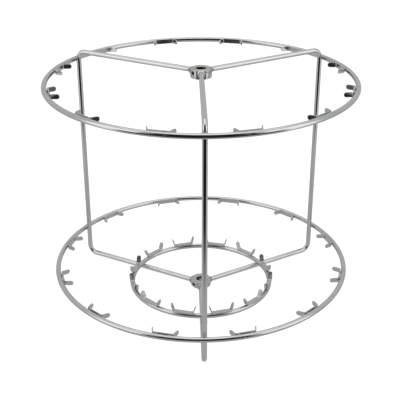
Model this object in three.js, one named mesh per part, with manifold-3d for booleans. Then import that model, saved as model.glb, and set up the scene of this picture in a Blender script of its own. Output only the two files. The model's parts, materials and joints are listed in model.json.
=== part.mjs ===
// A chrome wire rack for twelve upright panels set like the spokes of a wheel.
// Three rods, each bent into a C, join an upper and a lower hub. Two large rings are welded
// to the outside of the rods and a small ring to the top of their lower arms. Every ring
// carries twelve U-shaped clips. A set screw in each hub clamps the rack to a shaft.
// Millimetres, +Z up. The origin is on the axis, in the plane that the rack stands on.
import * as THREE from "three";
import { mergeVertices } from "three/addons/utils/BufferGeometryUtils.js";
import Module from "manifold-3d";

// ---- Driving dimensions ----

const WELD_GAP = 0.3; // left between two pieces that a weld joins
const PLACES = 12; // panels that the rack holds

const ROD_DIAMETER = 8.5;
const ROD_BEND_RADIUS = 14; // at the centreline
const TOP_ARM_HEIGHT = 396.5; // centreline of the upper arms
const ROD_AZIMUTHS = { front: -90, right: 30, left: 150 }; // degrees

const RING_WIRE = 8.5;
const RING_RADIUS = 250; // centreline of both large rings
const UPPER_RING_HEIGHT = 381.5;
const LOWER_RING_HEIGHT = 52.5;
const INNER_RING_RADIUS = 122;
const INNER_RING_SINK = 1; // its welds press it this far into the arms

const CLIP_WIDTH = 8;
const CLIP_THICKNESS = 2;
const CLIP_BASE_LENGTH = 28.6; // straight part between the bends
const CLIP_BEND_RADIUS = 3; // at the centreline
const CLIP_TAB_LENGTH = 12.5; // beyond the bend
const CLIP_SPLAY = 18; // degrees that each tab leans outwards

const HUBS = {
  upper: { diameter: 35, height: 15, bottom: 386.5, screwHeight: 395.5 },
  lower: { diameter: 35.5, height: 12, bottom: 0, screwHeight: 6 },
};
const HUB_BORE = 16;
const HUB_CHAMFER = 0.8;

const SCREW_DIAMETER = 6;
const SCREW_LENGTH = 6;
const SCREW_CHAMFER = 0.6;
const SCREW_AZIMUTH = -140; // degrees
const SCREW_RECESS = 1.5; // outer end below the hub's side
const SCREW_CLEARANCE = 0.3;
const HEX_ACROSS_FLATS = 3;
const HEX_DEPTH = 3;

const RING_SIDES = 12;
const LARGE_RING_STEPS = 72;
const SMALL_RING_STEPS = 48;
const BEND_STEPS = 6;
const CLIP_BEND_STEPS = 3;
const HUB_STEPS = 36;
const SCREW_SIDES = 16;

// ---- Dimensions that follow ----

const BOTTOM_ARM_HEIGHT = ROD_DIAMETER / 2;
const ROD_RADIUS_FROM_AXIS = RING_RADIUS - RING_WIRE / 2 - WELD_GAP - ROD_DIAMETER / 2;
const INNER_RING_HEIGHT = ROD_DIAMETER + RING_WIRE / 2 - INNER_RING_SINK;
const CLIP_SPACING = 360 / PLACES;
const FIRST_CLIP_AZIMUTH = CLIP_SPACING / 2;

const wasm = await Module();
wasm.setup();

// ---- Solids ----

function toSolid(geometry) {
  const bare = geometry.clone().deleteAttribute("normal").deleteAttribute("uv");
  const merged = mergeVertices(bare, 1e-3);
  return new wasm.Manifold(new wasm.Mesh({
    numProp: 3,
    vertProperties: merged.attributes.position.array,
    triVerts: new Uint32Array(merged.index.array),
  }));
}

function toGeometry(solid) {
  const { vertProperties, triVerts } = solid.getMesh();
  const geometry = new THREE.BufferGeometry();
  geometry.setAttribute("position", new THREE.BufferAttribute(vertProperties, 3));
  geometry.setIndex(new THREE.BufferAttribute(triVerts, 1));
  geometry.computeVertexNormals();
  return geometry;
}

// ---- Finishes ----

const FINISHES = {
  chrome: { color: 0xb9bcbc, roughness: 0.12, metalness: 1 },
  stamped: { color: 0xa9aaa6, roughness: 0.22, metalness: 1 },
  turned: { color: 0x9a9a90, roughness: 0.3, metalness: 1 },
  blackened: { color: 0x3a3a3b, roughness: 0.45, metalness: 1 },
};

function namedMesh(name, geometry, finish) {
  const mesh = new THREE.Mesh(geometry, new THREE.MeshStandardMaterial(FINISHES[finish]));
  mesh.name = name;
  return mesh;
}

// Holds a mesh made in the XZ plane at its azimuth about the axis.
function atAzimuth(degrees, mesh) {
  const turned = new THREE.Group();
  turned.rotation.z = THREE.MathUtils.degToRad(degrees);
  turned.add(mesh);
  return turned;
}

// ---- Rings ----

function ringGeometry(radius, wireRadius, height, steps) {
  return new THREE.TorusGeometry(radius, wireRadius, RING_SIDES, steps).translate(0, 0, height);
}

function rings() {
  const wireRadius = RING_WIRE / 2;
  const upper = ringGeometry(RING_RADIUS, wireRadius, UPPER_RING_HEIGHT, LARGE_RING_STEPS);
  const lower = ringGeometry(RING_RADIUS, wireRadius, LOWER_RING_HEIGHT, LARGE_RING_STEPS);
  const inner = ringGeometry(INNER_RING_RADIUS, wireRadius, INNER_RING_HEIGHT, SMALL_RING_STEPS);
  return [
    namedMesh("upper_ring", upper, "chrome"),
    namedMesh("lower_ring", lower, "chrome"),
    namedMesh("inner_ring", inner, "chrome"),
  ];
}

// ---- Rods ----

// A centreline that is cut only at its listed stations, so straights need no steps.
class StationCurve extends THREE.Curve {
  constructor(stations) {
    super();
    this.stations = stations;
  }

  stationAt(u) {
    return this.stations[Math.round(u * (this.stations.length - 1))];
  }

  getPointAt(u) {
    return this.stationAt(u).point.clone();
  }

  getTangentAt(u) {
    return this.stationAt(u).tangent.clone();
  }
}

function station(x, z, tangentX, tangentZ) {
  return { point: new THREE.Vector3(x, 0, z), tangent: new THREE.Vector3(tangentX, 0, tangentZ) };
}

// A quarter bend, clockwise from startDegrees when seen along +Y.
function quarterBend(centreHeight, startDegrees) {
  const centreX = ROD_RADIUS_FROM_AXIS - ROD_BEND_RADIUS;
  const stations = [];
  for (let step = 0; step <= BEND_STEPS; step++) {
    const angle = THREE.MathUtils.degToRad(startDegrees - (90 * step) / BEND_STEPS);
    const x = centreX + ROD_BEND_RADIUS * Math.cos(angle);
    const z = centreHeight + ROD_BEND_RADIUS * Math.sin(angle);
    stations.push(station(x, z, Math.sin(angle), -Math.cos(angle)));
  }
  return stations;
}

function armStart(hub) {
  return hub.diameter / 2 + WELD_GAP;
}

function rodGeometry() {
  const path = new StationCurve([
    station(armStart(HUBS.upper), TOP_ARM_HEIGHT, 1, 0),
    ...quarterBend(TOP_ARM_HEIGHT - ROD_BEND_RADIUS, 90),
    ...quarterBend(BOTTOM_ARM_HEIGHT + ROD_BEND_RADIUS, 0),
    station(armStart(HUBS.lower), BOTTOM_ARM_HEIGHT, -1, 0),
  ]);
  const section = new THREE.Shape().absarc(0, 0, ROD_DIAMETER / 2, 0, 2 * Math.PI);
  const rod = new THREE.ExtrudeGeometry(section, {
    extrudePath: path,
    steps: path.stations.length - 1,
    curveSegments: RING_SIDES / 2,
  });
  return toGeometry(toSolid(rod).subtract(toSolid(innerRingSeat())));
}

// The inner ring's wire with room around it, which cuts its seat into a lower arm.
function innerRingSeat() {
  const wireRadius = RING_WIRE / 2 + WELD_GAP;
  return ringGeometry(INNER_RING_RADIUS, wireRadius, INNER_RING_HEIGHT, SMALL_RING_STEPS);
}

function rods() {
  const geometry = rodGeometry();
  return Object.entries(ROD_AZIMUTHS).map(([side, azimuth]) =>
    atAzimuth(azimuth, namedMesh(`${side}_frame_rod`, geometry, "chrome")));
}

// ---- Clips ----

// Stations of a clip's right half, from the middle of its base to the tip of its tab.
// The base lies along Y on the plane z = 0 and the tab rises.
function halfClipStations() {
  const turn = THREE.MathUtils.degToRad(90 - CLIP_SPLAY);
  const stations = [];
  for (let step = 0; step <= CLIP_BEND_STEPS; step++) {
    const heading = (turn * step) / CLIP_BEND_STEPS;
    stations.push({
      y: CLIP_BASE_LENGTH / 2 + CLIP_BEND_RADIUS * Math.sin(heading),
      z: CLIP_THICKNESS / 2 + CLIP_BEND_RADIUS * (1 - Math.cos(heading)),
      heading,
      widthFactor: 1,
    });
  }
  const tabRoot = stations.at(-1);
  const tipRadius = CLIP_WIDTH / 2;
  for (const degrees of [90, 60, 30]) {
    const angle = THREE.MathUtils.degToRad(degrees);
    const along = CLIP_TAB_LENGTH - tipRadius * (1 - Math.cos(angle));
    stations.push({
      y: tabRoot.y + along * Math.cos(turn),
      z: tabRoot.z + along * Math.sin(turn),
      heading: turn,
      widthFactor: Math.sin(angle),
    });
  }
  return stations;
}

function clipStations() {
  const right = halfClipStations();
  const left = right.map((half) => ({ ...half, y: -half.y, heading: -half.heading }));
  return [...left.reverse(), ...right];
}

// A straight strip with one step for each station, bent along the stations.
function clipGeometry() {
  const stations = clipStations();
  const steps = stations.length - 1;
  const strip = new THREE.Shape()
    .moveTo(-CLIP_WIDTH / 2, -CLIP_THICKNESS / 2)
    .lineTo(CLIP_WIDTH / 2, -CLIP_THICKNESS / 2)
    .lineTo(CLIP_WIDTH / 2, CLIP_THICKNESS / 2)
    .lineTo(-CLIP_WIDTH / 2, CLIP_THICKNESS / 2);
  const geometry = new THREE.ExtrudeGeometry(strip, { depth: 1, steps, bevelEnabled: false });
  const corners = geometry.attributes.position;
  for (let i = 0; i < corners.count; i++) {
    const { y, z, heading, widthFactor } = stations[Math.round(corners.getZ(i) * steps)];
    const across = corners.getX(i) * widthFactor;
    const outward = corners.getY(i);
    corners.setXYZ(i, across, y + outward * Math.sin(heading), z - outward * Math.cos(heading));
  }
  geometry.computeVertexNormals();
  return geometry;
}

function clipName(ring, place) {
  return `${ring}_clip_${String(place).padStart(2, "0")}`;
}

// Twelve clips on edge against the inside of a large ring, with their tabs towards the axis.
function largeRingClips(ring, height) {
  const geometry = clipGeometry().rotateY(-Math.PI / 2);
  const innerSide = RING_RADIUS - RING_WIRE / 2 - WELD_GAP;
  const endHalfLength = CLIP_BASE_LENGTH / 2 + CLIP_BEND_RADIUS;
  const baseRadius = Math.sqrt(innerSide ** 2 - endHalfLength ** 2);
  return clipsAround(ring, geometry, new THREE.Vector3(baseRadius, 0, height));
}

// Twelve clips flat on top of the inner ring, with their tabs upwards.
function innerRingClips() {
  const top = INNER_RING_HEIGHT + RING_WIRE / 2 + WELD_GAP;
  return clipsAround("inner", clipGeometry(), new THREE.Vector3(INNER_RING_RADIUS, 0, top));
}

function clipsAround(ring, geometry, position) {
  const clips = [];
  for (let place = 1; place <= PLACES; place++) {
    const mesh = namedMesh(clipName(ring, place), geometry, "stamped");
    mesh.position.copy(position);
    clips.push(atAzimuth(FIRST_CLIP_AZIMUTH + (place - 1) * CLIP_SPACING, mesh));
  }
  return clips;
}

// ---- Hubs and their set screws ----

// Turns points given as [radius, height] about the Z axis.
function turnedGeometry(profile, steps) {
  const points = profile.map(([radius, height]) => new THREE.Vector2(radius, height));
  return new THREE.LatheGeometry(points, steps).rotateX(Math.PI / 2);
}

function hubBlank({ diameter, height }) {
  const bore = HUB_BORE / 2;
  const outside = diameter / 2;
  const c = HUB_CHAMFER;
  return turnedGeometry([
    [bore, c],
    [bore + c, 0],
    [outside - c, 0],
    [outside, c],
    [outside, height - c],
    [outside - c, height],
    [bore + c, height],
    [bore, height - c],
    [bore, c],
  ], HUB_STEPS);
}

// A cylinder that starts at the axis and passes the hub's side.
function screwHole({ diameter, bottom, screwHeight }) {
  const radius = SCREW_DIAMETER / 2 + SCREW_CLEARANCE;
  return new THREE.CylinderGeometry(radius, radius, diameter, SCREW_SIDES)
    .rotateZ(Math.PI / 2)
    .translate(diameter / 2, 0, screwHeight - bottom)
    .rotateZ(THREE.MathUtils.degToRad(SCREW_AZIMUTH));
}

function hub(name, dimensions) {
  const drilled = toSolid(hubBlank(dimensions)).subtract(toSolid(screwHole(dimensions)));
  const mesh = namedMesh(name, toGeometry(drilled), "turned");
  mesh.position.z = dimensions.bottom;
  return mesh;
}

// Along Z from its inner end at z = 0 to the end with the hexagon socket.
function screwGeometry() {
  const radius = SCREW_DIAMETER / 2;
  const c = SCREW_CHAMFER;
  const body = turnedGeometry([
    [0, 0],
    [radius - c, 0],
    [radius, c],
    [radius, SCREW_LENGTH - c],
    [radius - c, SCREW_LENGTH],
    [0, SCREW_LENGTH],
  ], SCREW_SIDES);
  const hexRadius = HEX_ACROSS_FLATS / 2 / Math.cos(Math.PI / 6);
  const hexagon = new THREE.CylinderGeometry(hexRadius, hexRadius, 2 * HEX_DEPTH, 6)
    .rotateX(Math.PI / 2)
    .translate(0, 0, SCREW_LENGTH);
  return toGeometry(toSolid(body).subtract(toSolid(hexagon)));
}

function setScrew(name, { diameter, screwHeight }) {
  const mesh = namedMesh(name, screwGeometry(), "blackened");
  mesh.rotation.y = Math.PI / 2;
  mesh.position.set(diameter / 2 - SCREW_RECESS - SCREW_LENGTH, 0, screwHeight);
  return atAzimuth(SCREW_AZIMUTH, mesh);
}

function hubs() {
  return [
    hub("upper_hub", HUBS.upper),
    hub("lower_hub", HUBS.lower),
    setScrew("upper_hub_set_screw", HUBS.upper),
    setScrew("lower_hub_set_screw", HUBS.lower),
  ];
}

// ---- The rack ----

const rack = new THREE.Group();
rack.add(...rods(), ...rings(), ...hubs());
rack.add(...largeRingClips("upper", UPPER_RING_HEIGHT));
rack.add(...largeRingClips("lower", LOWER_RING_HEIGHT));
rack.add(...innerRingClips());

export default rack;
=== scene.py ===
import json
import math
import random

import bmesh
import bpy
from mathutils import Matrix, Vector, noise


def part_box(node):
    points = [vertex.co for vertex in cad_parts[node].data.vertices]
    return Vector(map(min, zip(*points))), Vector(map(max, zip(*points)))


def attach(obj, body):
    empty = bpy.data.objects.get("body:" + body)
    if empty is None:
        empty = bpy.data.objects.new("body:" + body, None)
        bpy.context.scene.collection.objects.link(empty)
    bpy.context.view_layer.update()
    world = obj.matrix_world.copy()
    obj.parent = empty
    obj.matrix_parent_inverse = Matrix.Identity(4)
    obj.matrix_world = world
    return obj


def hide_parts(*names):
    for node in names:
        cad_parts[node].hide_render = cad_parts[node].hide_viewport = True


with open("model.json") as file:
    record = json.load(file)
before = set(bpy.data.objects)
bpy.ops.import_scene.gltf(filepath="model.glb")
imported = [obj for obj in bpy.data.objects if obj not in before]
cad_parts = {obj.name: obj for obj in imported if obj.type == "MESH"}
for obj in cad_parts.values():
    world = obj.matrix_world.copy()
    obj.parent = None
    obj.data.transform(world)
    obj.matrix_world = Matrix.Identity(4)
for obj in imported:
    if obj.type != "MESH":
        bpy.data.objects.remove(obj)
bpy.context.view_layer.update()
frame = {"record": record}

MM = 0.001

# ---- Driving values ----

CAMERA_LENS = 76.67  # mm, on a sensor 36 mm wide
CAMERA_SENSOR = 36.0
CAMERA_AZIMUTH = -91.2  # degrees, a little to the left of the front rod
CAMERA_PITCH = 25.5
CAMERA_DISTANCE = 1.4623
CAMERA_AIM = Vector((-1.6, 0, 167.4)) * MM

ROD_AZIMUTHS = {"front": -90, "right": 30, "left": 150}  # degrees
ROD_BEND_RADIUS = 14 * MM
ROD_BEND_FLATTENING = 0.035  # share of the rod's radius lost across a bend
ROD_END_IN_HUB = 1.2 * MM

WELD_GAP = 0.3 * MM  # left in the CAD model between two pieces that a weld joins
PLACES = 12
CLIP_WIDTH = 8 * MM
CLIP_THICKNESS = 2 * MM
CLIP_BASE_LENGTH = 28.6 * MM
CLIP_BEND_RADIUS = 3 * MM
CLIP_TAB_LENGTH = 12.5 * MM
CLIP_SPLAY = 18  # degrees
CLIP_SPLAY_SPREAD = 1.6  # degrees, between one tab and the next
CLIP_EDGE = 0.35 * MM  # radius of the strip's edges
CLIP_WELD_OUT = 11 * MM  # from the middle of a clip's base to each of its welds

HUB_BORE = 16 * MM
HUB_CHAMFER = 0.8 * MM
HUB_EDGE_SOFTNESS = 0.15 * MM
SCREW_AZIMUTH = -140  # degrees
SCREW_RADIUS = 3 * MM
SCREW_LENGTH = 6 * MM
SCREW_CHAMFER = 0.6 * MM
SCREW_RECESS = 1.5 * MM  # outer end below the hub's side
SCREW_PITCH = 1 * MM
STEPS_PER_PITCH = 8
THREAD_DEPTH = 0.45 * MM
HOLE_START = 4 * MM  # from the axis, inside the bore
HOLE_OVERRUN = 1 * MM  # past the hub's side
HOLE_CREST = 3.08 * MM  # radius inside the hole's thread, clear of the screw
HOLE_THREAD_DEPTH = 0.3 * MM
COUNTERSINK = 0.7 * MM
HEX_ACROSS_FLATS = 3 * MM
HEX_DEPTH = 3 * MM
HEX_OVERRUN = 1 * MM  # past the screw's end
DRILL_POINT = 0.7 * MM  # depth of the cone at the socket's bottom
DRILL_SHARE = 0.86  # the drill's radius as a share of the hexagon's

WIRE_SIDES = 32
LARGE_RING_STEPS = 288
INNER_RING_STEPS = 192
HUB_STEPS = 144

lot = random.Random(12)


# ---- Node trees ----

class Graph:
    """A node tree whose nodes are made and joined by short calls."""

    def __init__(self, tree):
        self.tree = tree
        tree.nodes.clear()

    def node(self, kind, inputs=None, **settings):
        made = self.tree.nodes.new("ShaderNode" + kind)
        for name, setting in settings.items():
            setattr(made, name, setting)
        for name, source in (inputs or {}).items():
            self.feed(made.inputs[name], source)
        return made

    def feed(self, socket, source):
        if isinstance(source, bpy.types.NodeSocket):
            self.tree.links.new(source, socket)
        else:
            socket.default_value = source

    def math(self, operation, *sources):
        made = self.node("Math", operation=operation)
        for socket, source in zip(made.inputs, sources):
            self.feed(socket, source)
        return made.outputs[0]

    def dot(self, vector, direction):
        made = self.node("VectorMath", operation="DOT_PRODUCT")
        self.feed(made.inputs[0], vector)
        self.feed(made.inputs[1], direction)
        return made.outputs["Value"]

    def ramp(self, source, low, high, to_low=0.0, to_high=1.0):
        """source, moved smoothly from the range low to high into the range to_low to to_high."""
        inputs = {"Value": source, "From Min": low, "From Max": high, "To Min": to_low, "To Max": to_high}
        return self.node("MapRange", inputs, interpolation_type="SMOOTHSTEP").outputs["Result"]

    def band(self, source, low, high, edge):
        """1 between low and high, 0 outside, with soft edges."""
        rises = self.ramp(source, low - edge, low + edge)
        falls = self.ramp(source, high - edge, high + edge, 1.0, 0.0)
        return self.math("MULTIPLY", rises, falls)

    def blend(self, share, first, second):
        made = self.node("Mix", data_type="FLOAT")
        self.feed(made.inputs[0], share)
        self.feed(made.inputs[2], first)
        self.feed(made.inputs[3], second)
        return made.outputs[0]

    def blend_colours(self, share, first, second):
        made = self.node("Mix", data_type="RGBA")
        self.feed(made.inputs[0], share)
        self.feed(made.inputs[6], first)
        self.feed(made.inputs[7], second)
        return made.outputs[2]

    def noise(self, vector, scale, detail=2.0, roughness=0.5):
        inputs = {"Vector": vector, "Scale": scale, "Detail": detail, "Roughness": roughness}
        return self.node("TexNoise", inputs).outputs["Fac"]

    def stretched(self, vector, scale):
        return self.node("Mapping", {"Vector": vector, "Scale": scale}).outputs["Vector"]

    def bump(self, height, distance, normal=None):
        made = self.node("Bump", {"Height": height, "Distance": distance, "Strength": 1.0})
        if normal:
            self.feed(made.inputs["Normal"], normal)
        return made.outputs["Normal"]


# ---- Studio: camera, light, floor ----

def compass(azimuth, elevation=0.0):
    """The unit vector towards an azimuth and an elevation in degrees."""
    turn, rise = math.radians(azimuth), math.radians(elevation)
    return Vector((math.cos(turn) * math.cos(rise), math.sin(turn) * math.cos(rise), math.sin(rise)))


def make_camera():
    data = bpy.data.cameras.new("camera")
    data.sensor_width = CAMERA_SENSOR
    data.lens = CAMERA_LENS
    camera = bpy.data.objects.new("camera", data)
    towards = compass(CAMERA_AZIMUTH, CAMERA_PITCH)
    camera.location = CAMERA_AIM + towards * CAMERA_DISTANCE
    camera.rotation_mode = "QUATERNION"
    camera.rotation_quaternion = towards.to_track_quat("Z", "Y")
    bpy.context.scene.collection.objects.link(camera)
    bpy.context.scene.camera = camera


# What the chrome mirrors: a dark gap at the camera's side between two white panels, a grey room, a white
# ceiling that comes lower behind, and a table painted on the floor for glossy rays, with painted shade in
# front, between the panels, and painted light under them.
# Levels are brightness. Edges are turns from the camera's side, tops are rises and blurs are half the widths
# of soft edges, all in degrees. Table distances are metres towards the camera's side.
ROOM_LEVEL = 0.54
PANEL_LEVEL = 1.18
GAP_LEVEL = 0.012
CEILING_LEVEL = 1.08
TABLE_LEVEL = 0.47
PAINTED_LIGHT_UNDER_PANEL_LEVEL = 1.0
BACKDROP_LEVEL = 1.0
PAPER_GLOW = 0.84
GAP_EDGE = 42
GAP_TOP = 60
PANEL_EDGE = 87
PANEL_TOP = 44
CEILING_FROM = {"front": 46, "behind": 36}
CEILING_FADE = 32
# Where the floor shows glossy rays painted shade in front, between the panels, and painted light under the
# panels.
TABLE_GAP_EDGE = 55
PAINTED_SHADE_SPAN = (0.34, 0.7)
PAINTED_LIGHT_SPAN = (0.15, 0.4)
EDGE_BLUR = 4
TOP_BLUR = 5
PANEL_TOP_BLUR = 6

CEILING_LIGHT_ENERGY = 12  # watts
CEILING_LIGHT_SIZE = 2.4
CEILING_LIGHT_HEIGHT = 2.4
FLOOR_HALF_SIZE = 14
FLOOR_HEIGHT = -0.2 * MM


def turn_from_camera(graph, vector):
    """How far the vector points towards the camera's side, and its turn from there in degrees."""
    ahead = graph.dot(vector, compass(CAMERA_AZIMUTH))
    aside = graph.math("ABSOLUTE", graph.dot(vector, compass(CAMERA_AZIMUTH + 90)))
    return ahead, graph.math("DEGREES", graph.math("ARCTAN2", aside, ahead))


def make_world():
    world = bpy.data.worlds.new("studio")
    bpy.context.scene.world = world
    world.use_nodes = True
    graph = Graph(world.node_tree)
    direction = graph.node("TexCoord").outputs["Generated"]
    _, turn = turn_from_camera(graph, direction)
    height = graph.dot(direction, Vector((0, 0, 1)))
    rise = graph.math("DEGREES", graph.math("ARCSINE", height))

    ceiling_from = graph.ramp(turn, 90, 135, CEILING_FROM["front"], CEILING_FROM["behind"])
    ceiling = graph.ramp(graph.math("SUBTRACT", rise, ceiling_from), 0, CEILING_FADE)
    between = graph.band(turn, -90, GAP_EDGE, EDGE_BLUR)
    gap = graph.math("MULTIPLY", between, graph.band(rise, -90, GAP_TOP, TOP_BLUR))
    beside = graph.band(turn, GAP_EDGE, PANEL_EDGE, EDGE_BLUR)
    panel = graph.math("MULTIPLY", beside, graph.band(rise, -90, PANEL_TOP, PANEL_TOP_BLUR))
    level = graph.blend(ceiling, ROOM_LEVEL, CEILING_LEVEL)
    level = graph.blend(panel, level, PANEL_LEVEL)
    level = graph.blend(gap, level, GAP_LEVEL)

    seen = graph.node("LightPath").outputs["Is Camera Ray"]
    shown = graph.blend(seen, level, BACKDROP_LEVEL)
    background = graph.node("Background", {"Color": shown})
    graph.node("OutputWorld", {"Surface": background.outputs["Background"]})


def make_ceiling_light():
    data = bpy.data.lights.new("ceiling_light", "AREA")
    data.shape = "DISK"
    data.size = CEILING_LIGHT_SIZE
    data.energy = CEILING_LIGHT_ENERGY
    light = bpy.data.objects.new("ceiling_light", data)
    light.location = (0, 0, CEILING_LIGHT_HEIGHT)
    light.visible_glossy = False
    bpy.context.scene.collection.objects.link(light)


def make_floor():
    mesh = bmesh.new()
    bmesh.ops.create_grid(mesh, x_segments=4, y_segments=4, size=FLOOR_HALF_SIZE)
    floor = bpy.data.objects.new("floor", to_data("floor", mesh))
    floor.location.z = FLOOR_HEIGHT
    floor.data.materials.append(floor_material())
    bpy.context.scene.collection.objects.link(floor)


def floor_material():
    """White paper lit by its own even glow. Glossy rays see a painted table in a darker room instead:
    painted shade in front, painted light under the panels.
    """
    material = bpy.data.materials.new("floor_paper_painted_table_light")
    material.use_nodes = True
    graph = Graph(material.node_tree)
    place = graph.node("TexCoord").outputs["Object"]
    cloud = graph.noise(place, 3.0)
    colour = graph.blend_colours(cloud, (0.34, 0.34, 0.34, 1), (0.36, 0.36, 0.36, 1))
    paper = graph.node("BsdfPrincipled", {"Base Color": colour, "Roughness": 0.9})
    paper.inputs["Specular IOR Level"].default_value = 0.0
    paper.inputs["Emission Color"].default_value = (1, 1, 1, 1)
    paper.inputs["Emission Strength"].default_value = PAPER_GLOW

    # For glossy rays only: a painted pool of light under each panel and painted shade in front between them.
    ahead, turn = turn_from_camera(graph, place)
    beside = graph.band(turn, TABLE_GAP_EDGE, PANEL_EDGE, EDGE_BLUR)
    painted_light_under_panel = graph.math("MULTIPLY", beside, graph.ramp(ahead, *PAINTED_LIGHT_SPAN))
    between = graph.band(turn, -90, TABLE_GAP_EDGE, EDGE_BLUR)
    painted_shade_in_gap = graph.math("MULTIPLY", between, graph.ramp(ahead, *PAINTED_SHADE_SPAN))
    painted_table_light = graph.blend(painted_light_under_panel, TABLE_LEVEL, PAINTED_LIGHT_UNDER_PANEL_LEVEL)
    painted_table_light = graph.blend(painted_shade_in_gap, painted_table_light, GAP_LEVEL)
    table = graph.node("Emission", {"Color": painted_table_light})
    shader = graph.node("MixShader")
    graph.feed(shader.inputs[0], graph.node("LightPath").outputs["Is Glossy Ray"])
    graph.feed(shader.inputs[1], paper.outputs["BSDF"])
    graph.feed(shader.inputs[2], table.outputs["Emission"])
    graph.node("OutputMaterial", {"Surface": shader.outputs["Shader"]})
    return material


# ---- Finishes ----

ALONG = "along"  # UV map of wires and strips: metres along, share around or across
HAZE = "haze"  # 1 where a weld has dulled the plating, 0 away from welds
HAZE_ROUGHNESS = 0.34
# Near-black of the painted shade in the hubs' bores.
PAINTED_BORE_SHADE = (0.05, 0.048, 0.045, 1)
RUBBED_STEEL = (0.16, 0.155, 0.15, 1)
TOOL_FEED = 0.35 * MM  # between one ring left by the turning tool and the next
RIPPLE_PITCH = 1.7 * MM
BEAD_CROWN = (0.46, 0.78)  # shares round an arm's weld bead between its toes


def tinted(colour, factor):
    return tuple(channel * factor for channel in colour) + (1,)


def slot_colour(slot):
    """The base colour that the record gives a slot."""
    for material in frame["record"]["materials"]:
        if material["slot"] == slot:
            return material["base_color"]
    raise KeyError(slot)


def plated_metal(name, colour, roughness, wave, line):
    """Bright plating: slow waves and fine peel in the surface, drawing lines along it, haze at welds."""
    material = bpy.data.materials.new(name)
    material.use_nodes = True
    graph = Graph(material.node_tree)
    place = graph.node("TexCoord").outputs["Object"]
    along = graph.node("UVMap", uv_map=ALONG).outputs["UV"]
    haze = graph.node("Attribute", attribute_name=HAZE).outputs["Fac"]

    patches = graph.noise(place, 38.0, 3.0)
    bright = graph.blend_colours(patches, tinted(colour, 0.95), tinted(colour, 1.05))
    specks = graph.noise(place, 420.0, 2.0)
    dull_share = graph.math("MULTIPLY", haze, graph.ramp(specks, 0.3, 0.7, 0.45, 1.0))
    shown = graph.blend_colours(dull_share, bright, tinted(colour, 0.84))

    lines = graph.noise(graph.stretched(along, (26.0, 46.0, 1.0)), 1.0, 3.0, 0.6)
    clean = graph.ramp(graph.noise(place, 75.0, 4.0), 0.3, 0.75, roughness * 0.75, roughness * 1.5)
    streaked = graph.math("ADD", clean, graph.ramp(lines, 0.45, 0.75, 0.0, roughness * 0.35))
    rough = graph.blend(dull_share, streaked, HAZE_ROUGHNESS)

    normal = graph.bump(graph.noise(place, 95.0, 1.0), wave)
    normal = graph.bump(lines, line, normal)
    normal = graph.bump(graph.noise(place, 1300.0, 2.0), 0.0012 * MM, normal)
    inputs = {"Base Color": shown, "Roughness": rough, "Normal": normal, "Metallic": 1.0}
    shader = graph.node("BsdfPrincipled", inputs)
    graph.node("OutputMaterial", {"Surface": shader.outputs["BSDF"]})
    return material


def turned_steel(name, colour):
    """A turned hub under thin plating: hammered and mottled, with the tool's fine rings about the axis,
    weld metal that ran over it near the arms, and an unplated bore painted near-black in patches as painted
    shade."""
    material = bpy.data.materials.new(name)
    material.use_nodes = True
    graph = Graph(material.node_tree)
    place = graph.node("TexCoord").outputs["Object"]
    parts = graph.node("SeparateXYZ", {"Vector": place}).outputs
    squares = graph.math("ADD", graph.math("POWER", parts["X"], 2.0), graph.math("POWER", parts["Y"], 2.0))
    radius = graph.math("SQRT", squares)
    feed = graph.math("ADD", radius, parts["Z"])
    tool_marks = graph.math("SINE", graph.math("MULTIPLY", feed, 2 * math.pi / TOOL_FEED))

    mottle = graph.noise(place, 330.0, 4.0, 0.6)
    dents = graph.noise(place, 150.0, 2.0)
    base = graph.blend_colours(graph.ramp(mottle, 0.4, 0.66), tinted(colour, 1.12), tinted(colour, 0.7))
    stained = graph.blend_colours(graph.ramp(dents, 0.5, 0.7, 0.0, 0.7), base, tinted(colour, 0.66))
    haze = graph.node("Attribute", attribute_name=HAZE).outputs["Fac"]
    run = graph.ramp(graph.math("ADD", haze, graph.ramp(dents, 0.3, 0.7, -0.2, 0.2)), 0.25, 0.5)
    stained = graph.blend_colours(run, stained, tinted(colour, 1.3))
    # Painted shade: the bore's wall goes near-black in patches.
    in_bore = graph.ramp(radius, HUB_BORE / 2 + 0.4 * MM, HUB_BORE / 2 + 0.1 * MM)
    painted_bore_shade = graph.blend_colours(graph.ramp(dents, 0.46, 0.6), PAINTED_BORE_SHADE, tinted(colour, 0.7))
    shown = graph.blend_colours(in_bore, stained, painted_bore_shade)
    rough = graph.ramp(mottle, 0.3, 0.75, 0.1, 0.3)

    normal = graph.bump(dents, 0.6 * MM)
    normal = graph.bump(mottle, 0.12 * MM, normal)
    normal = graph.bump(tool_marks, 0.0015 * MM, normal)
    inputs = {"Base Color": shown, "Roughness": rough, "Normal": normal, "Metallic": 1.0}
    shader = graph.node("BsdfPrincipled", inputs)
    graph.node("OutputMaterial", {"Surface": shader.outputs["BSDF"]})
    return material


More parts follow.
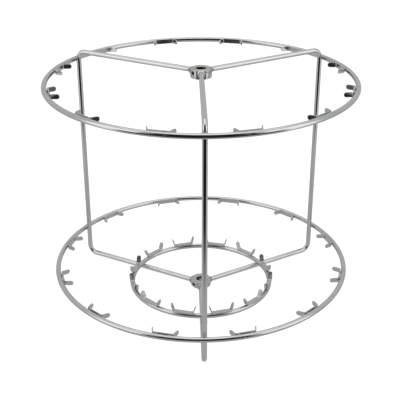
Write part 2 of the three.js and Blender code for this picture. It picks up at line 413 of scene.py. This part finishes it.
def burnt_weld(name, colour):
    """A hand-laid bead: ripples along it, a bright plated crown, dark pits, and painted shade at its toes
    where it meets the hub and arm.
    """
    material = bpy.data.materials.new(name)
    material.use_nodes = True
    graph = Graph(material.node_tree)
    place = graph.node("TexCoord").outputs["Object"]
    along = graph.node("UVMap", uv_map=ALONG).outputs["UV"]
    parts = graph.node("SeparateXYZ", {"Vector": along}).outputs

    # Dark pits, plus painted shade on the toes either side of the crown, where the bead meets the hub and
    # arm.
    pits = graph.ramp(graph.noise(place, 420.0, 3.0), 0.52, 0.66)
    crown = graph.band(parts["Y"], BEAD_CROWN[0], BEAD_CROWN[1], 0.07)
    painted_toe_shade = graph.math("MULTIPLY", graph.math("SUBTRACT", 1.0, crown), 0.75)
    pits_and_painted_toe_shade = graph.math("MAXIMUM", pits, painted_toe_shade)
    shown = graph.blend_colours(pits_and_painted_toe_shade, tinted(colour, 1.05), tinted(colour, 0.22))
    rough = graph.blend(pits_and_painted_toe_shade, 0.17, 0.5)

    ripples = graph.math("SINE", graph.math("MULTIPLY", parts["X"], 2 * math.pi / RIPPLE_PITCH))
    normal = graph.bump(graph.noise(place, 300.0, 3.0), 0.45 * MM)
    normal = graph.bump(ripples, 0.05 * MM, normal)
    inputs = {"Base Color": shown, "Roughness": rough, "Normal": normal, "Metallic": 1.0}
    shader = graph.node("BsdfPrincipled", inputs)
    graph.node("OutputMaterial", {"Surface": shader.outputs["BSDF"]})
    return material


def blackened_steel(name, colour):
    """A black oxide screw, rubbed a little brighter in patches."""
    material = bpy.data.materials.new(name)
    material.use_nodes = True
    graph = Graph(material.node_tree)
    place = graph.node("TexCoord").outputs["Object"]
    rubbed = graph.ramp(graph.noise(place, 900.0, 4.0), 0.55, 0.75)
    shown = graph.blend_colours(rubbed, tinted(colour, 1.0), RUBBED_STEEL)
    rough = graph.ramp(graph.noise(place, 1600.0, 2.0), 0.3, 0.7, 0.32, 0.55)
    normal = graph.bump(graph.noise(place, 2400.0, 3.0), 0.004 * MM)
    inputs = {"Base Color": shown, "Roughness": rough, "Normal": normal, "Metallic": 0.85}
    shader = graph.node("BsdfPrincipled", inputs)
    graph.node("OutputMaterial", {"Surface": shader.outputs["BSDF"]})
    return material


FRAME_COLOUR = slot_colour("frame_chrome")
RING_COLOUR = slot_colour("ring_chrome")
CLIP_COLOUR = slot_colour("clip_chrome")

# Plating by colour, roughness and the heights of its waves and drawing lines.
FINISHES = {
    "frame_chrome": plated_metal("frame_chrome", FRAME_COLOUR, 0.085, 0.03 * MM, 0.0016 * MM),
    "ring_chrome": plated_metal("ring_chrome", RING_COLOUR, 0.095, 0.03 * MM, 0.0016 * MM),
    "clip_chrome": plated_metal("clip_chrome", CLIP_COLOUR, 0.16, 0.05 * MM, 0.003 * MM),
    "weld_chrome": plated_metal("weld_chrome", RING_COLOUR, 0.2, 0.12 * MM, 0.002 * MM),
    "arm_weld": burnt_weld("arm_weld", FRAME_COLOUR),
    "hub_steel": turned_steel("hub_steel", slot_colour("hub_steel")),
    "screw_steel": blackened_steel("screw_steel", slot_colour("screw_steel")),
}


# ---- Meshes ----

def loft(sections, distances, closed=False):
    """A mesh through outlines of equal length. Closed joins the last outline to the first, open caps both
    ends. The UV map holds the distance along and the share around."""
    count = len(sections[0])
    mesh = bmesh.new()
    uv = mesh.loops.layers.uv.new(ALONG)
    rows = [[mesh.verts.new(point) for point in section] for section in sections]
    spans = len(rows) if closed else len(rows) - 1
    for row in range(spans):
        here, there = rows[row], rows[(row + 1) % len(rows)]
        for k in range(count):
            after = (k + 1) % count
            face = mesh.faces.new((here[k], here[after], there[after], there[k]))
            low, high = k / count, (k + 1) / count
            corners = (
                (distances[row], low),
                (distances[row], high),
                (distances[row + 1], high),
                (distances[row + 1], low),
            )
            for loop, corner in zip(face.loops, corners):
                loop[uv].uv = corner
    if not closed:
        mesh.faces.new(reversed(rows[0]))
        mesh.faces.new(rows[-1])
    bmesh.ops.recalc_face_normals(mesh, faces=mesh.faces)
    return mesh


def to_data(name, mesh):
    data = bpy.data.meshes.new(name)
    mesh.to_mesh(data)
    mesh.free()
    return data


def cut(data, cutter_data):
    """data with cutter_data's shape taken out of it."""
    target = bpy.data.objects.new("cut_target", data)
    cutter = bpy.data.objects.new("cutter", cutter_data)
    bpy.context.scene.collection.objects.link(target)
    bpy.context.scene.collection.objects.link(cutter)
    boolean = target.modifiers.new("cut", "BOOLEAN")
    boolean.operation = "DIFFERENCE"
    boolean.solver = "EXACT"
    boolean.object = cutter
    graph = bpy.context.evaluated_depsgraph_get()
    result = bpy.data.meshes.new_from_object(target.evaluated_get(graph))
    bpy.data.objects.remove(target)
    bpy.data.objects.remove(cutter)
    return result


def add_haze(data, welds, reach):
    """Writes how near each vertex is to a weld."""
    haze = data.attributes.new(HAZE, "FLOAT", "POINT")
    for vertex in data.vertices:
        nearest = min(((vertex.co - weld).length for weld in welds), default=1.0)
        haze.data[vertex.index].value = math.exp(-((nearest / reach) ** 2))


def add_piece(name, data, finish, nodes, body="cage", sharp=None):
    """Puts a mesh in the scene as a piece that rides on a body and stands for CAD nodes."""
    data.name = name
    data.materials.clear()
    data.materials.append(FINISHES[finish])
    data.shade_smooth()
    if sharp is not None:
        data.set_sharp_from_angle(angle=math.radians(sharp))
    piece = bpy.data.objects.new(name, data)
    bpy.context.scene.collection.objects.link(piece)
    if sharp is not None:
        weighted = piece.modifiers.new("even_shading", "WEIGHTED_NORMAL")
        weighted.keep_sharp = True
    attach(piece, body)
    if nodes:
        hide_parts(*nodes)
    return piece


# ---- Places, read from the CAD boxes ----

class Ring:
    """A welded wire ring about the Z axis."""

    def __init__(self, name):
        low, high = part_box(name)
        self.name = name
        self.wire = (high.z - low.z) / 2
        self.height = (high.z + low.z) / 2
        self.radius = high.x - self.wire

    def point(self, azimuth, inset=0.0, raised=0.0):
        return compass(azimuth) * (self.radius - inset) + Vector((0, 0, self.height + raised))


class Hub:
    """A turned hub about the Z axis, with its arms' height."""

    def __init__(self, name, arm_height):
        low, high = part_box(name)
        self.name = name
        self.radius = high.x
        self.bottom = low.z
        self.top = high.z
        self.arm_height = arm_height
        screw_low, screw_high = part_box(name + "_set_screw")
        self.screw_height = (screw_low.z + screw_high.z) / 2

    def arm_root(self, azimuth):
        return compass(azimuth) * self.radius + Vector((0, 0, self.arm_height))


ROD_LOW, ROD_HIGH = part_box("front_frame_rod")
ROD_RADIUS = ROD_HIGH.x
UPRIGHT_RADIUS = -ROD_LOW.y - ROD_RADIUS
UPPER_ARM = ROD_HIGH.z - ROD_RADIUS
LOWER_ARM = ROD_LOW.z + ROD_RADIUS

upper_ring = Ring("upper_ring")
lower_ring = Ring("lower_ring")
inner_ring = Ring("inner_ring")
RINGS = {"upper": upper_ring, "lower": lower_ring, "inner": inner_ring}
upper_hub = Hub("upper_hub", UPPER_ARM)
lower_hub = Hub("lower_hub", LOWER_ARM)
HUBS = {"upper": upper_hub, "lower": lower_hub}


def clip_azimuths():
    spacing = 360 / PLACES
    return [spacing / 2 + place * spacing for place in range(PLACES)]


def clip_weld_azimuths(ring):
    turn = math.degrees(math.asin(CLIP_WELD_OUT / ring.radius))
    return [azimuth + side * turn for azimuth in clip_azimuths() for side in (-1, 1)]


def meets_rod(ring, azimuth):
    """Where a ring touches a rod: the inner ring its lower arm, the others its upright."""
    if ring is inner_ring:
        return compass(azimuth) * ring.radius + Vector((0, 0, LOWER_ARM + ROD_RADIUS))
    return ring.point(azimuth, ring.wire + WELD_GAP)


# ---- Rings ----

RING_CLOSURE_AZIMUTH = 100  # degrees, where the wire's ends are butt-welded
RING_CLOSURE_SWELL = 0.22 * MM
RING_CLOSURE_REACH = 1.8 * MM
HAZE_REACH = 9 * MM
HUB_HAZE_REACH = 6.5 * MM


def ring_sections(ring, steps):
    sections = []
    for step in range(steps):
        azimuth = 360 * step / steps
        away = math.radians((azimuth - RING_CLOSURE_AZIMUTH + 180) % 360 - 180) * ring.radius
        wire = ring.wire + RING_CLOSURE_SWELL * math.exp(-((away / RING_CLOSURE_REACH) ** 2))
        section = []
        for side in range(WIRE_SIDES):
            angle = 2 * math.pi * side / WIRE_SIDES
            section.append(ring.point(azimuth, -wire * math.cos(angle), wire * math.sin(angle)))
        sections.append(section)
    return sections


def make_ring(ring):
    steps = INNER_RING_STEPS if ring is inner_ring else LARGE_RING_STEPS
    circumference = 2 * math.pi * ring.radius
    distances = [circumference * step / steps for step in range(steps + 1)]
    data = to_data(ring.name, loft(ring_sections(ring, steps), distances, closed=True))
    welds = [meets_rod(ring, azimuth) for azimuth in ROD_AZIMUTHS.values()]
    welds += [ring.point(azimuth) for azimuth in clip_weld_azimuths(ring)]
    welds.append(ring.point(RING_CLOSURE_AZIMUTH))
    add_haze(data, welds, HAZE_REACH)
    add_piece(ring.name + "_wire", data, "ring_chrome", [ring.name])


# ---- Rods ----

ROD_STEP = 6 * MM  # between sections of a straight
BEND_STEPS = 20


def straight(start, end):
    """Stations along a straight, without its end: place, tangent and how far bent."""
    steps = max(1, round((end - start).length / ROD_STEP))
    tangent = (end - start).normalized()
    return [(start.lerp(end, step / steps), tangent, 0.0) for step in range(steps)]


def bend(centre, start_degrees):
    """Stations round a quarter bend that turns clockwise, seen along +Y."""
    stations = []
    for step in range(BEND_STEPS):
        share = step / BEND_STEPS
        angle = math.radians(start_degrees - 90 * share)
        out = Vector((math.cos(angle), 0, math.sin(angle)))
        tangent = Vector((math.sin(angle), 0, -math.cos(angle)))
        stations.append((centre + out * ROD_BEND_RADIUS, tangent, math.sin(math.pi * share)))
    return stations


def rod_stations():
    turn = UPRIGHT_RADIUS - ROD_BEND_RADIUS
    upper = Vector((turn, 0, UPPER_ARM - ROD_BEND_RADIUS))
    lower = Vector((turn, 0, LOWER_ARM + ROD_BEND_RADIUS))
    up, out = Vector((0, 0, ROD_BEND_RADIUS)), Vector((ROD_BEND_RADIUS, 0, 0))
    arm_start = Vector((upper_hub.radius - ROD_END_IN_HUB, 0, UPPER_ARM))
    arm_end = Vector((lower_hub.radius - ROD_END_IN_HUB, 0, LOWER_ARM))
    stations = straight(arm_start, upper + up)
    stations += bend(upper, 90)
    stations += straight(upper + out, lower + out)
    stations += bend(lower, 0)
    stations += straight(lower - up, arm_end)
    stations.append((arm_end, Vector((-1, 0, 0)), 0.0))
    return stations


def rod_sections(stations):
    """Round outlines, drawn a little flatter towards a bend's centre."""
    aside = Vector((0, 1, 0))
    sections = []
    for place, tangent, bent in stations:
        inward = tangent.cross(aside)
        across_bend = ROD_RADIUS * (1 - ROD_BEND_FLATTENING * bent)
        section = []
        for side in range(WIRE_SIDES):
            angle = 2 * math.pi * side / WIRE_SIDES
            offset = inward * across_bend * math.cos(angle) + aside * ROD_RADIUS * math.sin(angle)
            section.append(place + offset)
        sections.append(section)
    return sections


def make_rod(side, azimuth):
    stations = rod_stations()
    distances = [0.0]
    for (before, _, _), (after, _, _) in zip(stations, stations[1:]):
        distances.append(distances[-1] + (after - before).length)
    name = side + "_frame_rod"
    mesh = loft(rod_sections(stations), distances)
    bmesh.ops.rotate(mesh, matrix=Matrix.Rotation(math.radians(azimuth), 3, "Z"), verts=mesh.verts)
    data = to_data(name, mesh)
    welds = [meets_rod(ring, azimuth) for ring in RINGS.values()]
    welds += [hub.arm_root(azimuth) for hub in HUBS.values()]
    add_haze(data, welds, HAZE_REACH)
    add_piece(name + "_bar", data, "frame_chrome", [name])


# ---- Clips ----

CLIP_BEND_STEPS = 8
CLIP_TIP_STEPS = 8
CLIP_BASE_STEPS = 5
CLIP_EDGE_STEPS = 3


def strip_outline():
    """Stations from a clip's middle to a tab's tip: distance along and turn round the tip in radians."""
    turn = math.radians(90 - CLIP_SPLAY)
    base = CLIP_BASE_LENGTH / 2
    bent = CLIP_BEND_RADIUS * turn
    bend_end = base + bent
    tip_centre = bend_end + CLIP_TAB_LENGTH - CLIP_WIDTH / 2
    stations = [(base * step / CLIP_BASE_STEPS, 0.0) for step in range(1, CLIP_BASE_STEPS)]
    stations += [(base + bent * step / CLIP_BEND_STEPS, 0.0) for step in range(CLIP_BEND_STEPS + 1)]
    stations.append(((bend_end + tip_centre) / 2, 0.0))
    stations += [(tip_centre, math.pi / 2 * step / CLIP_TIP_STEPS) for step in range(CLIP_TIP_STEPS + 1)]
    return stations


def edge_layers():
    """Steps round the strip's edge, from its back to its front: inset from the side and offset through the
    thickness."""
    front = []
    for step in range(CLIP_EDGE_STEPS + 1):
        angle = math.pi / 2 * step / CLIP_EDGE_STEPS
        inset = CLIP_EDGE * (1 - math.cos(angle))
        outward = CLIP_THICKNESS / 2 - CLIP_EDGE * (1 - math.sin(angle))
        front.append((inset, outward))
    back = [(inset, -outward) for inset, outward in reversed(front)]
    return back + front


def bent_point(along, across, outward, splay):
    """A point of the flat strip once its tab is bent: the base lies along Y, the tab rises along Z."""
    side = -1 if along < 0 else 1
    distance = abs(along)
    base = CLIP_BASE_LENGTH / 2
    turn = math.radians(90 - splay)
    heading = min(max((distance - base) / CLIP_BEND_RADIUS, 0.0), turn)
    flat = min(distance, base)
    beyond = max(distance - base - CLIP_BEND_RADIUS * turn, 0.0)
    y = flat + CLIP_BEND_RADIUS * math.sin(heading) + beyond * math.cos(heading)
    z = CLIP_THICKNESS / 2 + CLIP_BEND_RADIUS * (1 - math.cos(heading)) + beyond * math.sin(heading)
    return Vector((across, side * (y + outward * math.sin(heading)), z - outward * math.cos(heading)))


def clip_mesh(splays):
    """A bent strip with rounded edges and full-radius tab ends. splays are its two tabs' lean."""
    mesh = bmesh.new()
    uv = mesh.loops.layers.uv.new(ALONG)
    layers = edge_layers()
    half = strip_outline()
    stations = [(-along, turn, splays[0]) for along, turn in reversed(half)]
    stations += [(0.0, 0.0, splays[0])]
    stations += [(along, turn, splays[1]) for along, turn in half]
    rows = []
    for along, turn, splay in stations:
        row = []
        for edge in (1, -1):
            for inset, outward in layers if edge > 0 else reversed(layers):
                reach = CLIP_WIDTH / 2 - inset
                distance = abs(along) + reach * math.sin(turn)
                across = edge * reach * math.cos(turn)
                signed = math.copysign(distance, along)
                row.append((bent_point(signed, across, outward, splay), (signed, across / CLIP_WIDTH)))
        rows.append([(mesh.verts.new(point), corner) for point, corner in row])
    count = len(rows[0])
    for here, there in zip(rows, rows[1:]):
        for k in range(count):
            after = (k + 1) % count
            corners = (here[k], here[after], there[after], there[k])
            face = mesh.faces.new([vertex for vertex, _ in corners])
            for loop, (_, corner) in zip(face.loops, corners):
                loop[uv].uv = corner
    bmesh.ops.remove_doubles(mesh, verts=mesh.verts, dist=0.001 * MM)
    bmesh.ops.recalc_face_normals(mesh, faces=mesh.faces)
    return mesh


def clip_placement(ring):
    """Moves a clip from its own axes to azimuth 0 on its ring."""
    if ring is inner_ring:
        return Matrix.Translation((ring.radius, 0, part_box("inner_clip_01")[0].z))
    inner_side = ring.radius - ring.wire - WELD_GAP
    end_half_length = CLIP_BASE_LENGTH / 2 + CLIP_BEND_RADIUS
    base_radius = math.sqrt(inner_side ** 2 - end_half_length ** 2)
    return Matrix.Translation((base_radius, 0, ring.height)) @ Matrix.Rotation(-math.pi / 2, 4, "Y")


def make_clips(ring, prefix):
    placement = clip_placement(ring)
    weld_azimuths = clip_weld_azimuths(ring)
    for place, azimuth in enumerate(clip_azimuths()):
        name = f"{prefix}_clip_{place + 1:02d}"
        splays = [CLIP_SPLAY + lot.uniform(-CLIP_SPLAY_SPREAD, CLIP_SPLAY_SPREAD) for _ in range(2)]
        mesh = clip_mesh(splays)
        bmesh.ops.transform(mesh, matrix=placement, verts=mesh.verts)
        bmesh.ops.rotate(mesh, matrix=Matrix.Rotation(math.radians(azimuth), 3, "Z"), verts=mesh.verts)
        data = to_data(name, mesh)
        welds = [ring.point(weld, ring.wire) for weld in weld_azimuths[2 * place:2 * place + 2]]
        add_haze(data, welds, HAZE_REACH / 2)
        add_piece(name + "_strip", data, "clip_chrome", [name], sharp=60)


# ---- Hubs and set screws ----

def hub_profile(hub):
    """Outline [radius, height] of a hub's wall, with softened chamfer edges."""
    bore, outside = HUB_BORE / 2, hub.radius
    height = hub.top - hub.bottom
    c = HUB_CHAMFER
    lower_corners = [(bore, c), (bore + c, 0), (outside - c, 0), (outside, c)]
    upper_corners = [(radius, height - above) for radius, above in reversed(lower_corners)]
    corners = lower_corners + upper_corners
    profile = []
    for k, corner in enumerate(corners):
        here = Vector(corner)
        for other in (corners[k - 1], corners[(k + 1) % len(corners)]):
            profile.append(here + (Vector(other) - here).normalized() * HUB_EDGE_SOFTNESS)
    return profile


def thread(crest, depth, along, angle):
    """Radius of a thread's surface at a distance along it and an angle round it."""
    share = (along / SCREW_PITCH - angle / (2 * math.pi)) % 1.0
    return crest - depth * abs(2 * share - 1)


def threaded_sections(start, end, radius_at):
    """Round outlines along X whose radius is radius_at(distance from start, angle)."""
    steps = round((end - start) / SCREW_PITCH * STEPS_PER_PITCH)
    sections = []
    for step in range(steps + 1):
        x = start + (end - start) * step / steps
        section = []
        for side in range(WIRE_SIDES):
            angle = 2 * math.pi * side / WIRE_SIDES
            radius = radius_at(x - start, angle)
            section.append(Vector((x, radius * math.cos(angle), radius * math.sin(angle))))
        sections.append(section)
    return sections


def screw_hole(hub):
    """The threaded hole's shape, from the bore to past the hub's side, with a countersink outside."""
    sink_from = hub.radius - COUNTERSINK - HOLE_START

    def radius_at(along, angle):
        wall = thread(HOLE_CREST + HOLE_THREAD_DEPTH, HOLE_THREAD_DEPTH, along, angle)
        return max(wall, HOLE_CREST + along - sink_from)

    sections = threaded_sections(HOLE_START, hub.radius + HOLE_OVERRUN, radius_at)
    mesh = loft(sections, [section[0].x for section in sections])
    place_screw_mesh(mesh, hub.screw_height)
    return to_data("screw_hole", mesh)


def place_screw_mesh(mesh, height):
    bmesh.ops.rotate(mesh, matrix=Matrix.Rotation(math.radians(SCREW_AZIMUTH), 3, "Z"), verts=mesh.verts)
    bmesh.ops.translate(mesh, vec=(0, 0, height), verts=mesh.verts)


def make_hub(hub):
    profile = hub_profile(hub)
    sections = []
    for step in range(HUB_STEPS):
        out = compass(360 * step / HUB_STEPS)
        sections.append([out * radius + Vector((0, 0, hub.bottom + height)) for radius, height in profile])
    distances = [2 * math.pi * hub.radius * step / HUB_STEPS for step in range(HUB_STEPS + 1)]
    data = to_data(hub.name, loft(sections, distances, closed=True))
    data = cut(data, screw_hole(hub))
    add_haze(data, [hub.arm_root(azimuth) for azimuth in ROD_AZIMUTHS.values()], HUB_HAZE_REACH)
    add_piece(hub.name + "_collar", data, "hub_steel", [hub.name], sharp=50)


def make_screw(hub, prefix):
    outer = hub.radius - SCREW_RECESS
    start = outer - SCREW_LENGTH

    def radius_at(along, angle):
        wall = thread(SCREW_RADIUS, THREAD_DEPTH, along, angle)
        from_end = min(along, SCREW_LENGTH - along)
        return min(wall, SCREW_RADIUS - SCREW_CHAMFER + from_end)

    sections = threaded_sections(start, outer, radius_at)
    mesh = loft(sections, [section[0].x for section in sections])
    place_screw_mesh(mesh, hub.screw_height)
    data = cut(to_data("screw", mesh), hex_socket(outer, hub.screw_height))
    name = hub.name + "_set_screw"
    body = prefix + "_set_screw"
    add_piece(name + "_grub", data, "screw_steel", [name], body=body, sharp=35)


def hex_socket(mouth, height):
    """The shape of a hexagon socket with a drill point at its bottom, along X."""
    corner = HEX_ACROSS_FLATS / 2 / math.cos(math.pi / 6)
    bottom = mouth - HEX_DEPTH
    outlines = [
        (bottom - DRILL_POINT, 0.02 * corner),
        (bottom, DRILL_SHARE * corner),
        (bottom + 0.01 * MM, corner),
        (mouth + HEX_OVERRUN, corner),
    ]
    sections = []
    for x, radius in outlines:
        section = []
        for side in range(6):
            angle = math.pi / 3 * side
            section.append(Vector((x, radius * math.cos(angle), radius * math.sin(angle))))
        sections.append(section)
    mesh = loft(sections, [x for x, _ in outlines])
    place_screw_mesh(mesh, height)
    return to_data("hex_socket", mesh)


# ---- Welds ----

NUGGET_ROUGHNESS = 0.16  # share of its size that a bead's surface wanders
NUGGET_LUMPS = 1.6  # noise scale over a bead of radius 1
BEAD_SCALES = (0.88, 1.1)  # of the beads at the clips

# Half-sizes of beads in millimetres: outwards, along the ring and upwards.
CROSSING_BEAD = (1.2, 3.3, 3.3)
SEAT_BEAD = (3.4, 3.4, 1.1)
CLIP_BEAD = (0.95, 2.4, 2.4)
FLAT_CLIP_BEAD = (2.6, 2.3, 0.75)


def add_nugget(mesh, place, azimuth, half_sizes, scale=1.0):
    """A lumpy bead, turned to its azimuth."""
    ball = bmesh.ops.create_icosphere(mesh, subdivisions=3, radius=scale * MM)
    turn = Matrix.Rotation(math.radians(azimuth), 3, "Z") @ Matrix.Diagonal(half_sizes)
    shift = Vector((lot.uniform(0, 50), lot.uniform(0, 50), lot.uniform(0, 50)))
    for vertex in ball["verts"]:
        lump = 1 + NUGGET_ROUGHNESS * noise.noise(vertex.co.normalized() * NUGGET_LUMPS + shift)
        vertex.co = place + turn @ (vertex.co * lump)


def make_ring_welds(ring, prefix):
    flat = ring is inner_ring
    mesh = bmesh.new()
    mesh.loops.layers.uv.new(ALONG)
    for azimuth in ROD_AZIMUTHS.values():
        add_nugget(mesh, meets_rod(ring, azimuth), azimuth, SEAT_BEAD if flat else CROSSING_BEAD)
    for azimuth in clip_weld_azimuths(ring):
        if flat:
            place = ring.point(azimuth, 0.0, ring.wire + WELD_GAP / 2)
        else:
            place = ring.point(azimuth, ring.wire + WELD_GAP)
        scale = lot.uniform(*BEAD_SCALES)
        add_nugget(mesh, place, azimuth, FLAT_CLIP_BEAD if flat else CLIP_BEAD, scale)
    data = to_data(prefix, mesh)
    add_haze(data, [], 1.0)
    add_piece(prefix + "_weld_beads", data, "weld_chrome", [])


ARM_WELD_WIDTH = 2.9 * MM
ARM_WELD_DEPTH = 2.2 * MM  # that its back reaches into the hub
ARM_WELD_HIDDEN = 0.6 * MM  # that its inside reaches into the arm
ARM_WELD_STEPS = 72
ARM_WELD_PROFILE_STEPS = 8
ARM_WELD_WAVE = 0.16  # share of its width
HUB_EDGE_CLEARANCE = 0.25 * MM


def arm_weld_width(hub, angle, phase):
    """Width of the bead round an arm's end. It thins out where it nears the hub's faces."""
    rise = math.sin(angle)
    to_face = hub.top - hub.arm_height if rise > 0 else hub.arm_height - hub.bottom
    room = max(to_face - HUB_EDGE_CLEARANCE, ROD_RADIUS)
    most = room / max(abs(rise), 0.01) - ROD_RADIUS
    wave = 1 + ARM_WELD_WAVE * math.sin(5 * angle + 1.2 * math.sin(3 * angle + phase) + phase)
    return min(ARM_WELD_WIDTH * wave, most)


def arm_weld_sections(hub, phase):
    """Outlines of the bead round an arm's end, along X."""
    inner = ROD_RADIUS - ARM_WELD_HIDDEN
    sections = []
    for step in range(ARM_WELD_STEPS):
        angle = 2 * math.pi * step / ARM_WELD_STEPS
        out = Vector((0, math.cos(angle), math.sin(angle)))
        width = arm_weld_width(hub, angle, phase)
        section = [Vector((-ARM_WELD_DEPTH, 0, 0)) + out * inner]
        for turn in range(ARM_WELD_PROFILE_STEPS + 1):
            share = turn / ARM_WELD_PROFILE_STEPS
            x = width * math.sin(math.pi / 2 * share) - ARM_WELD_DEPTH * (1 - share)
            section.append(Vector((x, 0, 0)) + out * (ROD_RADIUS + width * math.cos(math.pi / 2 * share)))
        section.append(Vector((width, 0, 0)) + out * inner)
        sections.append(section)
    return sections


def make_hub_welds(hub):
    joined = bmesh.new()
    distances = [ROD_RADIUS * 2 * math.pi * step / ARM_WELD_STEPS for step in range(ARM_WELD_STEPS + 1)]
    for azimuth in ROD_AZIMUTHS.values():
        mesh = loft(arm_weld_sections(hub, lot.uniform(0, 6)), distances, closed=True)
        bmesh.ops.translate(mesh, vec=(hub.radius, 0, hub.arm_height), verts=mesh.verts)
        bmesh.ops.rotate(mesh, matrix=Matrix.Rotation(math.radians(azimuth), 3, "Z"), verts=mesh.verts)
        bead = to_data("bead", mesh)
        joined.from_mesh(bead)
        bpy.data.meshes.remove(bead)
    data = to_data(hub.name, joined)
    add_piece(hub.name + "_weld_beads", data, "arm_weld", [])


# ---- The rack ----

make_camera()
make_world()
make_ceiling_light()
make_floor()

for prefix, ring in RINGS.items():
    make_ring(ring)
    make_clips(ring, prefix)
    make_ring_welds(ring, prefix)
for side, azimuth in ROD_AZIMUTHS.items():
    make_rod(side, azimuth)
for prefix, hub in HUBS.items():
    make_hub(hub)
    make_hub_welds(hub)
    make_screw(hub, prefix)

bpy.context.scene.view_settings.view_transform = "Standard"
